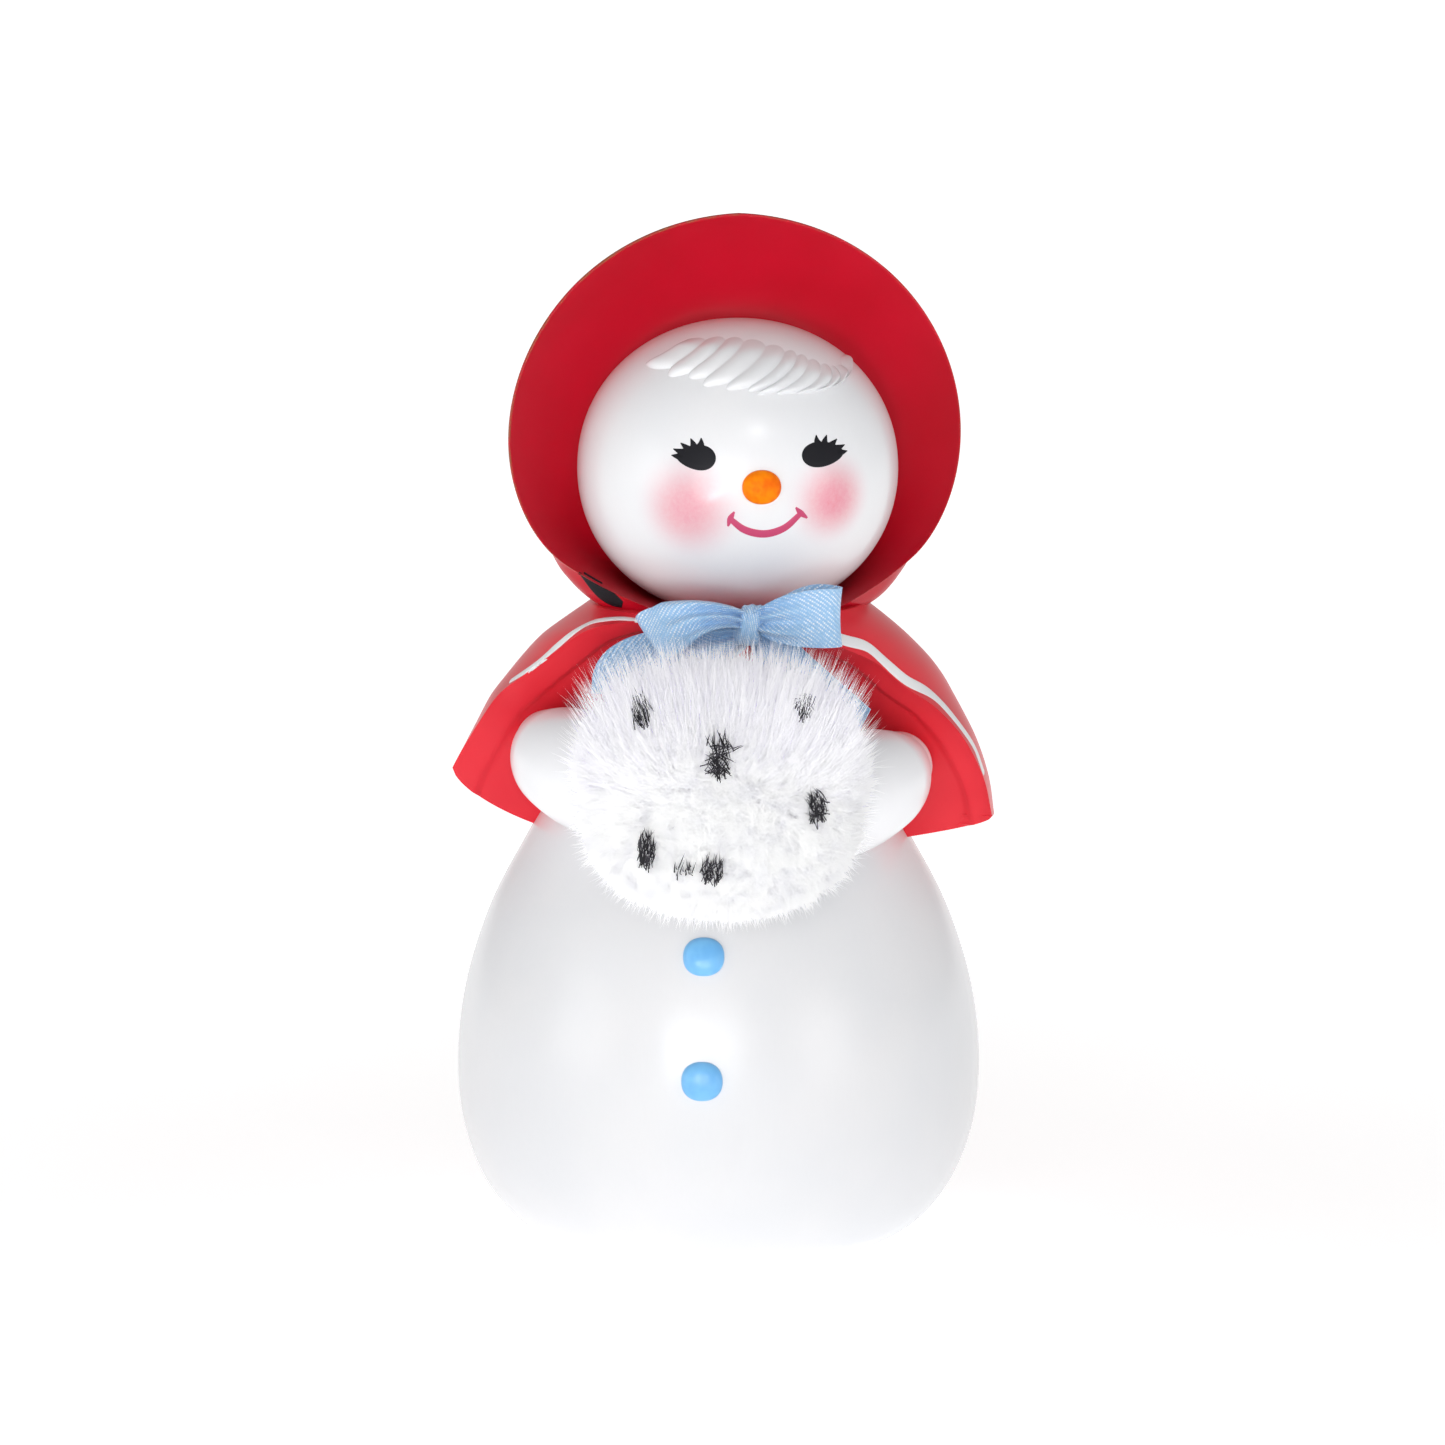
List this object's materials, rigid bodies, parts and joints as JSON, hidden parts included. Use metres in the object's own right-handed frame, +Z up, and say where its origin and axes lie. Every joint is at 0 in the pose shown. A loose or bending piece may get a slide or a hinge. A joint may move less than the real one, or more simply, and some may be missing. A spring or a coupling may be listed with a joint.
{
  "type": "wooden snowman figure",
  "caption": "Free-standing painted wooden snow lady with a hood, a cape, a ribbon bow, buttons and a spotted fur muff held in both hands.",
  "frame": {"origin": "centre of the flat base, on the axis of the turned body", "axes": "+Z up; the figure faces -Y; +X is the figure's own left, the viewer's right"},
  "size_m": [0.0935, 0.108, 0.1791],
  "materials": {
    "snow_paint": "brushed gloss white enamel over wood",
    "red_paint": "brushed gloss red enamel over wood",
    "blue_paint": "gloss light blue enamel over wood",
    "orange_paint": "gloss orange enamel over wood",
    "bare_wood": "unpainted turned dowel",
    "white_fur": "long-pile white artificial fur with black spots",
    "wadding": "plain undyed wadding",
    "satin_ribbon": "woven light blue satin"
  },
  "bodies": {
    "root": {"body": "snow_paint", "head": "snow_paint", "neck_dowel": "bare_wood", "nose": "orange_paint", "hair_fringe": "snow_paint", "hood": "red_paint", "cape": "red_paint", "left_arm": "snow_paint", "right_arm": "snow_paint", "left_arm_dowel": "bare_wood", "right_arm_dowel": "bare_wood", "muff_fur": "white_fur", "muff_padding": "wadding", "bow_knot": "satin_ribbon", "bow_left_loop": "satin_ribbon", "bow_right_loop": "satin_ribbon", "bow_left_tail": "satin_ribbon", "bow_right_tail": "satin_ribbon", "upper_button": "blue_paint", "lower_button": "blue_paint"}
  },
  "joints": []
}
